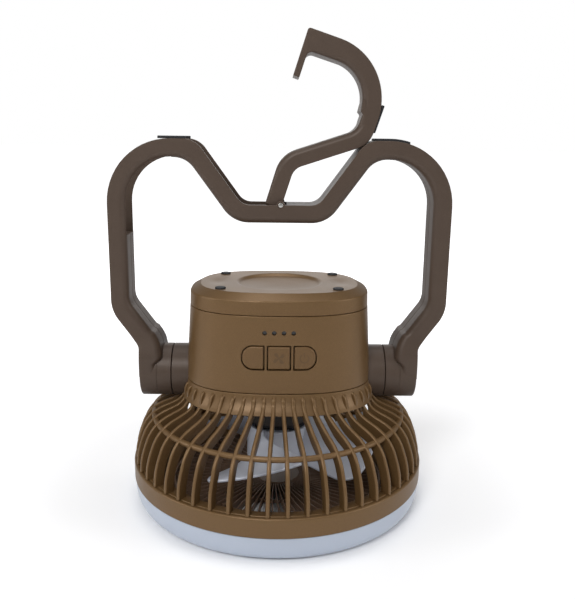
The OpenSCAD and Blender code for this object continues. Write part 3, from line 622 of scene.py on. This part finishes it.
# push buttons with crowned faces
def key_piece(nm, x0, x1, side):
    cx = (x0 + x1) / 2
    outl = key_outline(x0 + 0.02, x1 - 0.02, side, 0.0)
    inn = inward(outl)
    front = lambda x, z: -(wall_y(x, z) + 0.42)
    rings = [[(x, -39.7, z) for x, z in outl], [(x, front(x, z) + 1.1, z) for x, z in outl]]
    for k in range(1, 6):
        a = (pi / 2) * k / 5
        rr = 0.95
        rings.append([(x + v[0] * rr * (1 - cos(a)), front(x, z) + 1.1 - 0.95 * sin(a) - 0.15 * (k / 5), z + v[1] * rr * (1 - cos(a))) for (x, z), v in zip(outl, inn)])
    last = [(p[0], p[2]) for p in rings[-1]]
    for k in range(1, 11):
        f = 1 - k / 10
        ring = []
        for x, z in last:
            X, Z = cx + (x - cx) * f, 105 + (z - 105) * f
            ring.append((X, front(X, Z) + 0.02 * f, Z))
        rings.append(ring)
    p1 = loft(rings, cap1=False)
    fl = slab(key_outline(x0, x1, side, 0.9), -40.6, -39.6, 0.1, 0.1, 1)
    add_piece(nm.replace("button", "key"), bm_from(*join([p1, fl])), BRONZE_DARK, nm, 42)
    return front


fronts = {}
for nm, x0, x1, side in KEYS:
    fronts[nm] = key_piece(nm, x0, x1, side)


def decal(name, polys, front, node, lift=0.06):
    parts = []
    for poly in polys:
        poly = clean(poly, 0.005)
        top = [(x, front(x, z) - lift, z) for x, z in poly]
        bot = [(x, front(x, z) + 0.25, z) for x, z in poly]
        parts.append(loft([bot, top]))
    add_piece(name, bm_from(*join(parts), merge=0), MARK, node, 30, weighted=False)


def arc_band(cx, cz, r, w, a0, a1, n=36):
    o = [(cx + (r + w / 2) * cos(radians(a0 + (a1 - a0) * k / n)), cz + (r + w / 2) * sin(radians(a0 + (a1 - a0) * k / n))) for k in range(n + 1)]
    i = [(cx + (r - w / 2) * cos(radians(a1 - (a1 - a0) * k / n)), cz + (r - w / 2) * sin(radians(a1 - (a1 - a0) * k / n))) for k in range(n + 1)]
    return o + i


# power symbol
decal("power_mark", [arc_band(15.2, 104.9, 2.6, 0.5, 125, 415), [(14.95, 105.3), (15.45, 105.3), (15.45, 108.4), (14.95, 108.4)]], fronts["power_button"], "power_button")
# four-blade fan symbol
pet = []
for k in range(4):
    a = radians(45 + 90 * k)
    pts = []
    for q in [(0.7, -0.35), (1.9, -1.25), (3.1, -1.35), (3.9, -0.55), (3.7, 0.35), (2.6, 0.5), (1.3, 0.35), (0.6, 0.25)]:
        pts.append((q[0] * cos(a) - q[1] * sin(a), 105 + q[0] * sin(a) + q[1] * cos(a)))
    pet.append(catmull(pts + [pts[0]], 3))
pet.append([(0.55 * cos(radians(20 * k)), 105 + 0.55 * sin(radians(20 * k))) for k in range(18)])
decal("fan_mark", pet, fronts["fan_button"], "fan_button")
# ------------------------------------------------------------------ base cap
prof = fillet_open([(55.6, 130.32), (56.55, 130.32), (56.3, 139.1), (49.8, TOP), (40, TOP)], [0, 0.55, 1.5, 1.1, 0], 6)
rings = [ring_at(a, a - 12.85, z) for a, z in prof[:-1]]


def top_z(x, y):
    r = hypot(x, y)
    t = min(1.0, max(0.0, (27.6 - r) / 3.2))
    d = 1.5 * t * t * (3 - 2 * t) + 1.7 * max(0.0, 1 - (r / 26.0) ** 2)
    for s in (-1, 1):
        d += 0.9 * exp(-((x - s * 39.5) / 4.6) ** 2 - (y / 9.5) ** 2)
    return TOP - d


last = rings[-1]
for k in range(1, 65):
    f = 1 - k / 64
    w = min(1.0, k / 3)
    rings.append([(x * f, y * f, (1 - w) * TOP + w * top_z(x * f, y * f)) for x, y, z in last])
bm = bm_from(*loft(rings, cap1=False), merge=1e-6)
add_piece("cap", bm, BRONZE, "base_cap", 45)
parts = []
for x in (-36, 36):
    for y in (-24, 24):
        parts.append(lathe(fillet([(0.001, 141.4), (3.3, 141.4), (3.3, 143.7), (0.001, 143.7)], [0, 0, 0.55, 0], 4), 48, "Z", (x, y, 0)))
add_piece("feet", bm_from(*join(parts)), RUBBER, "rubber_feet", 45)

# ------------------------------------------------------------------ hinge hubs
for side, node in ((-1, "left_hub"), (1, "right_hub")):
    prof = fillet([(4.05, 54.2), (17, 54.2), (17, 68.2), (4.05, 68.2)], [0, 0.2, 0.35, 0.2], 5)
    p = lathe(prof, 128, "X", (0, 0, HZ))
    if side < 0:
        p = mirrored(p, 0)
    add_piece(node.replace("hub", "boss"), bm_from(*p), BROWN, node, 45)

# ------------------------------------------------------------------ handle
O_L = [(0, 1, 192.5), (-0.809, 0.588, 94.3), (0, 1, 231.6), (1, 0, 105.4), (0.81, -0.587, 11.84), (1, 0, 88.8)]
I_L = [(0, -1, -181.3), (0.809, -0.588, -83.2), (0, -1, -220.4), (-1, 0, -94.4), (-0.81, 0.587, -0.12), (-1, 0, -77.8)]


def meet(l, k):
    d = l[0] * k[1] - l[1] * k[0]
    return ((l[2] * k[1] - k[2] * l[1]) / d, (l[0] * k[2] - k[0] * l[2]) / d)


def grown(ls, d):
    return [(l[0], l[1], l[2] + d) for l in ls]


def outer(d=0.0, z0=83.0, n=14):
    L = grown(O_L, d)
    pts = [(0, L[0][2])] + [meet(L[i], L[i + 1]) for i in range(5)] + [(L[5][2], z0)]
    return fillet_open(pts, [0, max(10 - d, 0.05), 14 + d, 39.3 + d, 22 + d, max(7 - d, 0.05), 0], n)


def inner(d=0.0, z0=83.0, n=14):
    L = grown(I_L, d)
    pts = [(0, -L[0][2])] + [meet(L[i], L[i + 1]) for i in range(5)] + [(-L[5][2], z0)]
    return fillet_open(pts, [0, 19 + d, max(15 - d, 0.05), 28.3 - d, max(13 - d, 0.05), 9 + d, 0], n)


IN_EDGE = [(60.0, 77.8), (90.6, 77.8), (91.4, 77.5), (92.4, 76.6), (93.6, 75.4), (94.8, 74.6), (96.2, 74.3), (99.0, 74.7), (102.0, 75.2), (104.8, 76.1), (106.9, 77.1), (109.3, 78.5), (111.5, 79.9)]


def in_edge(z):
    for (z0, x0), (z1, x1) in zip(IN_EDGE, IN_EDGE[1:]):
        if z0 <= z <= z1:
            return x0 + (x1 - x0) * (z - z0) / (z1 - z0)
    return 999.0


def deep(z):
    # half depth of the arm, growing into the hinge disc
    t = min(1.0, max(0.0, (113.0 - z) / 20.0))
    return 13.5 + 3.48 * (t * t * (3 - 2 * t)) - (0.12 * max(0.0, (90 - z) / 7.0))


def end_fix(o, i):
    # same number of stations on both edges, then the inner edge follows the hinge disc's shoulder
    ko = next(j for j in range(len(o)) if o[j][1] < 124 and o[j][0] > 50) - 1
    ki = next(j for j in range(len(i)) if i[j][1] < 124 and i[j][0] > 50) - 1
    k = min(ko, ki)
    N = 44
    def tail(p, k):
        seg = p[k:]
        cum = [0.0]
        for a, b in zip(seg, seg[1:]):
            cum.append(cum[-1] + hypot(b[0] - a[0], b[1] - a[1]))
        out = []
        for n in range(N + 1):
            z = seg[0][1] + (seg[-1][1] - seg[0][1]) * n / N
            for a, b in zip(seg, seg[1:]):
                if (a[1] >= z >= b[1]) and a[1] != b[1]:
                    f = (a[1] - z) / (a[1] - b[1])
                    out.append((a[0] + (b[0] - a[0]) * f, z))
                    break
            else:
                out.append(seg[-1] if n else seg[0])
        return out
    to, ti = tail(o, k), tail(i, k)
    ti = [(min(x, in_edge(z)), z) for x, z in ti]
    return o[:k] + to, i[:k] + ti


o_r, i_r = end_fix(outer(), inner())
path = [((-o[0], o[1]), (-i[0], i[1])) for o, i in zip(reversed(o_r), reversed(i_r))][:-1] + list(zip(o_r, i_r))


def split_at(path, fn, lo=0):
    # adds a station where fn(mid) changes sign, after index lo; returns its index
    mid = lambda s: ((s[0][0] + s[1][0]) / 2, (s[0][1] + s[1][1]) / 2)
    for k in range(lo, len(path) - 1):
        a, b = fn(mid(path[k])), fn(mid(path[k + 1]))
        if a == 0:
            return k
        if a * b < 0:
            t = a / (a - b)
            s = tuple(tuple(path[k][j][c] * (1 - t) + path[k + 1][j][c] * t for c in (0, 1)) for j in (0, 1))
            path.insert(k + 1, s)
            return k + 1
    raise ValueError("no crossing")


i1 = split_at(path, lambda m: m[1] - 172.5)
i2 = split_at(path, lambda m: m[0] + 66.0, i1)
i3 = split_at(path, lambda m: m[0] - 4.1, i2)
FR = 4.3


def arc(L, a0, a1, n=8, D=13.5):
    return [(L - FR + FR * sin(radians(a0 + (a1 - a0) * k / n)), -D + FR - FR * cos(radians(a0 + (a1 - a0) * k / n))) for k in range(n + 1)]


def sec_full(L, D=13.5):
    return [(0.55, -0.02), (0.1, -0.2), (0, -0.42), (0, 0.35 - D), (0.1, 0.1 - D), (0.35, -D)] + arc(L, 0, 90, D=D) + [(L, -0.42), (L - 0.1, -0.2), (L - 0.55, -0.02)]


A11 = degrees(acos((FR - 2.5) / FR))


def sec_wall(L):
    return [(0.2, -11.0), (0, -11.2), (0, -13.15), (0.1, -13.4), (0.35, -13.5)] + arc(L, 0, A11)


def sec_chan(L):
    return [(0.2, -11.0), (0, -11.2), (0, -13.15), (0.1, -13.4), (0.35, -13.5)] + arc(L, 0, 90) + [(L, -0.3), (L - 0.2, -0.06), (L - 1.2, -0.06), (L - 1.2, -11.0)]


def run(stations, sec, back):
    rings = []
    for (ox, oz), (ix, iz) in stations:
        L = hypot(ix - ox, iz - oz)
        dx, dz = (ix - ox) / L, (iz - oz) / L
        if sec is sec_full:
            pts = sec_full(L, deep((oz + iz) / 2))
        else:
            pts = sec(L)
        rings.append([(ox + dx * v, -y if back else y, oz + dz * v) for v, y in pts])
    return loft(rings)


def recessed(part, sx):
    # opens the arm's end over the round recess of the hinge cap
    c = bm_from(*lathe([(0.001, 85.9), (10, 85.9), (10, 91), (0.001, 91)], 96, "X", (0, 0, HZ)))
    if sx < 0:
        bmesh.ops.scale(c, vec=(-1, 1, 1), verts=c.verts)
        bmesh.ops.recalc_face_normals(c, faces=c.faces)
    b = boolean(bm_from(*part), c)
    b.verts.ensure_lookup_table()
    b.verts.index_update()
    out = ([tuple(v.co / MM) for v in b.verts], [tuple(v.index for v in f.verts) for f in b.faces])
    b.free()
    return out


for back, node in ((False, "handle_front_shell"), (True, "handle_rear_shell")):
    parts = [recessed(run(path[:i1 + 1], sec_full, back), -1), run(path[i1:i2 + 1], sec_wall, back), run(path[i2:i3 + 1], sec_chan, back), recessed(run(path[i3:], sec_full, back), 1)]
    for s in (-1, 1):
        # hinge disc, half on each shell, with a rounded rim and a recess for its cap
        prof = fillet([(4.05, 68.7), (17, 68.7), (17, 77.62), (16.8, 77.8), (17, 77.98), (17, 88.7), (10.03, 88.7), (10.03, 85.93), (4.05, 85.93)], [0.1, 0.35, 0.05, 0.05, 0.05, 1.0, 0.3, 0.1, 0.1], 6)
        a0, a1 = (pi, 2 * pi) if not back else (0, pi)
        p = lathe(prof, 64, "X", (0, 0, HZ), a0 + 0.003 - pi / 2 * 0, a1 - 0.003)
        # lathe about X measures its angle from +Y, so turn it a quarter
        p = turned(p, radians(90), "X", (0, 0, HZ))
        if s < 0:
            p = mirrored(p, 0)
        parts.append(p)
    # ring around the hook pin
    y0, y1 = (-13.5, -11.0) if not back else (11.0, 13.5)
    ring = lathe(fillet([(1.55, y0), (2.6, y0), (2.6, y1), (1.55, y1)], [0.2, 0.35, 0.2, 0.1] if not back else [0.1, 0.2, 0.35, 0.2], 4), 48, "Y", (PIN[0], 0, PIN[1]))
    parts.append(ring)
    add_piece(node.replace("handle_", "swing_"), bm_from(*join(parts), merge=0), BROWN, node, 48)

# caps over the hinge bolts
parts = []
for s in (1, -1):
    p = lathe(fillet([(0.001, 86.0), (9.9, 86.0), (9.9, 88.6), (7.6, 88.6), (7.0, 88.0), (0.001, 88.0)], [0, 0.1, 0.7, 0.3, 0.4, 0], 4), 72, "X", (0, 0, HZ))
    parts.append(p if s > 0 else mirrored(p, 0))
add_piece("hinge_covers", bm_from(*join(parts)), BROWN, "hinge_caps", 45)

p = lathe(fillet([(0.001, -13.65), (1.5, -13.65), (1.5, 13.65), (0.001, 13.65)], [0, 0.35, 0.35, 0], 3), 40, "Y", (PIN[0], 0, PIN[1]))
add_piece("fold_pin", bm_from(*p), NICKEL, "hook_pin", 45)

# ------------------------------------------------------------------ pads on the shoulders
def edge_at(path, x):
    for a, b in zip(path, path[1:]):
        if a[0] <= x <= b[0] and b[0] > a[0] and a[1] > 200:
            return (x, a[1] + (b[1] - a[1]) * (x - a[0]) / (b[0] - a[0]))
    raise ValueError(x)


o_a, o_b = outer(1.38, n=20), outer(-0.25, n=20)
xs = [57.3 + 20.9 * k / 24 for k in range(25)]
top, bot = [edge_at(o_a, x) for x in xs], [edge_at(o_b, x) for x in xs]
pts = clean(top + bot[::-1], 0.15)
add_piece("right_pad", bm_from(*slab(pts, -10.7, 10.7, 0.4, 0.4, 3)), RUBBER, "right_shoulder_pad", 45)
parts = []
for y0, y1 in ((-13.3, -11.2), (11.2, 13.3)):
    pts = clean(fillet([(-73.7, 231.5), (-56.9, 231.5), (-56.9, 233.1), (-73.7, 233.1)], [0.05, 0.1, 0.5, 0.5], 4))
    parts.append(slab(pts, y0, y1, 0.35, 0.35, 3))
add_piece("left_pads", bm_from(*join(parts)), RUBBER, "left_shoulder_pads", 45)

# ------------------------------------------------------------------ hook
FOLD = radians(107.8)


def unfold(x, y, z):
    # the hook is drawn folded in the handle and turned about its pin
    dx, dz = x - PIN[0], z - PIN[1]
    return (PIN[0] + dx * cos(FOLD) + dz * sin(FOLD), y, PIN[1] - dx * sin(FOLD) + dz * cos(FOLD))


h_dip, h_slope, h_top, h_leg = (0, 1, 193.3), (0.809, 0.588, 95.1), (0, 1, 231.9), (-1, 0, 102.7)
END = 175.35
g_dip, g_slope, g_thin, g_top, g_leg = (0, -1, -183.0), (-0.809, -0.588, -84.8), (0, -1, -222.0), (0, -1, -220.1), (-1, 0, 90.3)
ha, hb, hc = meet(h_dip, h_slope), meet(h_slope, h_top), meet(h_top, h_leg)
gp, gq = meet(g_dip, g_slope), meet(g_slope, g_thin)
gr = meet(g_top, (-1, 0, 90.3))
pts = [(PIN[0] + 2.4, 193.3), ha, hb, hc, (-102.7, END), (-74.3, END), (-74.3, END + 3.9), (-90.3, END + 3.9), gr,
       (-67.6, 220.1), (-66.5, 222.0), gq, gp, (2.6, 183.3), (PIN[0] + 2.6, 190.2)]
rad = [2.0, 9.4, 14.4, 36.6, 1.6, 0.5, 0.5, 3.5, 22.3, 1.0, 1.0, 10, 19, 1.0, 1.5]
edge = [0.45, 0.45, 0.45, 0.45, 0.5, 0.5, 0.5, 1.2, 3.6, 0.8, 0.8, 3.6, 3.6, 1.0, 0.45]
outl, rr = [], []
m = len(pts)
for i in range(m):
    c = corner(pts[i - 1], pts[i], pts[(i + 1) % m], rad[i], 20 if rad[i] > 8 else 6, 0.999)
    outl += c
    rr += [edge[i]] * len(c)
keep = [0]
for i in range(1, len(outl)):
    if hypot(outl[i][0] - outl[keep[-1]][0], outl[i][1] - outl[keep[-1]][1]) > 0.05:
        keep.append(i)
outl, rr = [outl[i] for i in keep], [rr[i] for i in keep]
# soften the change between sharp and round edges
for _ in range(3):
    rr = [(rr[i - 1] + 2 * rr[i] + rr[(i + 1) % len(rr)]) / 4 for i in range(len(rr))]
body = slab(outl, -10.5, 10.5, rr, rr, 6, to3=unfold)
add_piece("hook_arm", bm_from(*body, merge=0), BROWN, "hook", 48)
pts = clean(fillet([(-75.2, 231.3), (-58.4, 231.3), (-58.4, 233.05), (-75.2, 233.05)], [0.05, 0.05, 0.5, 0.5], 4))
add_piece("hook_cushion", bm_from(*slab(pts, -8.9, 8.9, 0.3, 0.3, 3, to3=unfold)), RUBBER, "hook_pad", 45)

# ------------------------------------------------------------------ small shown hardware
for n in ("charging_port", "light_pipes", "handle_screws", "friction_washers"):
    md = nodes[n].modifiers.new("weld", "WELD")
    md.merge_threshold = 1e-6
    md = nodes[n].modifiers.new("bevel", "BEVEL")
    md.width = 0.00008
    md.segments = 2
    md.limit_method = "ANGLE"
    md.angle_limit = radians(40)

# ------------------------------------------------------------------ studio
def plane(name, size, z, mat):
    me = bpy.data.meshes.new(name)
    me.from_pydata([(-size, -size, z), (size, -size, z), (size, size, z), (-size, size, z)], [], [(0, 1, 2, 3)])
    me.materials.append(mat)
    o = bpy.data.objects.new(name, me)
    scene.collection.objects.link(o)
    return o


floor_mat = bpy.data.materials.new("studio_floor")
floor_mat.use_nodes = True
fb = floor_mat.node_tree.nodes["Principled BSDF"]
fb.inputs["Base Color"].default_value = (0.92, 0.92, 0.93, 1)
fb.inputs["Roughness"].default_value = 0.6
fb.inputs["Specular IOR Level"].default_value = 0.1
fb.inputs["Emission Color"].default_value = (1, 1, 1, 1)
# painted light on the floor: a glow seen only by the camera, weak near the object (0.15) and strong far away (0.85), so
# the floor reads evenly white despite the lamps' falloff
ft = floor_mat.node_tree
tc = ft.nodes.new("ShaderNodeTexCoord")
ln = ft.nodes.new("ShaderNodeVectorMath")
ln.operation = "LENGTH"
ft.links.new(tc.outputs["Object"], ln.inputs[0])
mr = ft.nodes.new("ShaderNodeMapRange")
mr.inputs["From Min"].default_value = 0.14
mr.inputs["From Max"].default_value = 0.7
mr.inputs["To Min"].default_value = 0.15
mr.inputs["To Max"].default_value = 0.85
ft.links.new(ln.outputs["Value"], mr.inputs["Value"])
cr = ft.nodes.new("ShaderNodeLightPath")
# painted shade under the guard: the floor glow is cut to zero within about 86 to 100 mm of the centre, so the floor
# seen through the grille stays dark
painted_shade_under_guard = ft.nodes.new("ShaderNodeMapRange")
painted_shade_under_guard.inputs["From Min"].default_value = 0.086
painted_shade_under_guard.inputs["From Max"].default_value = 0.1
ft.links.new(ln.outputs["Value"], painted_shade_under_guard.inputs["Value"])
m0 = ft.nodes.new("ShaderNodeMath")
m0.operation = "MULTIPLY"
ft.links.new(mr.outputs["Result"], m0.inputs[0])
ft.links.new(painted_shade_under_guard.outputs["Result"], m0.inputs[1])
camera_floor_glow = ft.nodes.new("ShaderNodeMath")
camera_floor_glow.operation = "MULTIPLY"
ft.links.new(m0.outputs["Value"], camera_floor_glow.inputs[0])
ft.links.new(cr.outputs["Is Camera Ray"], camera_floor_glow.inputs[1])
ft.links.new(camera_floor_glow.outputs["Value"], fb.inputs["Emission Strength"])
floor = plane("studio_floor", 14.0, 0.0, floor_mat)

world = bpy.data.worlds.new("studio")
scene.world = world
world.use_nodes = True
bg = world.node_tree.nodes["Background"]
bg.inputs["Color"].default_value = (1.0, 1.0, 1.0, 1)
bg.inputs["Strength"].default_value = 0.30
# plain white behind the object, softer light on it
wt = world.node_tree
back = wt.nodes.new("ShaderNodeBackground")
back.inputs["Color"].default_value = (1.0, 1.0, 1.0, 1)
back.inputs["Strength"].default_value = 1.0
lp = wt.nodes.new("ShaderNodeLightPath")
mx = wt.nodes.new("ShaderNodeMixShader")
wt.links.new(lp.outputs["Is Camera Ray"], mx.inputs["Fac"])
wt.links.new(bg.outputs["Background"], mx.inputs[1])
wt.links.new(back.outputs["Background"], mx.inputs[2])
wt.links.new(mx.outputs["Shader"], wt.nodes["World Output"].inputs["Surface"])


def area(name, loc, target, size, power, color=(1, 1, 1)):
    l = bpy.data.lights.new(name, "AREA")
    l.shape = "DISK"
    l.size = size
    l.energy = power
    l.color = color
    o = bpy.data.objects.new(name, l)
    scene.collection.objects.link(o)
    o.location = loc
    o.rotation_euler = (Vector(target) - Vector(loc)).to_track_quat("-Z", "Y").to_euler()
    return o


area("key", (-0.35, -0.95, 0.95), (0, 0, 0.1), 0.45, 6.5)
area("fill", (0.95, -0.35, 0.5), (0, 0, 0.12), 0.5, 2.6)
area("back", (0.0, 1.2, 0.42), (0, 0, 0.14), 0.8, 1.8)
area("side", (-0.95, -0.25, 0.45), (0, 0, 0.12), 0.4, 2.2)
area("top", (0.05, 0.15, 1.15), (0, 0, 0.12), 0.8, 4.2)

cam = bpy.data.cameras.new("camera")
cam.sensor_fit = "AUTO"
cam.sensor_width = 36.0
cam.lens = 42.57
cam.clip_start = 0.01
cam.clip_end = 100
co = bpy.data.objects.new("camera", cam)
scene.collection.objects.link(co)
co.matrix_world = Matrix.Translation((-0.00255, -0.44783, 0.23308)) @ Matrix.Rotation(-0.0178, 4, "Z") @ Matrix.Rotation(pi / 2 - 0.2256, 4, "X") @ Matrix.Rotation(0.0134, 4, "Z")
scene.camera = co
scene.view_settings.view_transform = "Standard"
scene.view_settings.look = "None"
scene.view_settings.exposure = 0.0
scene.view_settings.gamma = 1.0
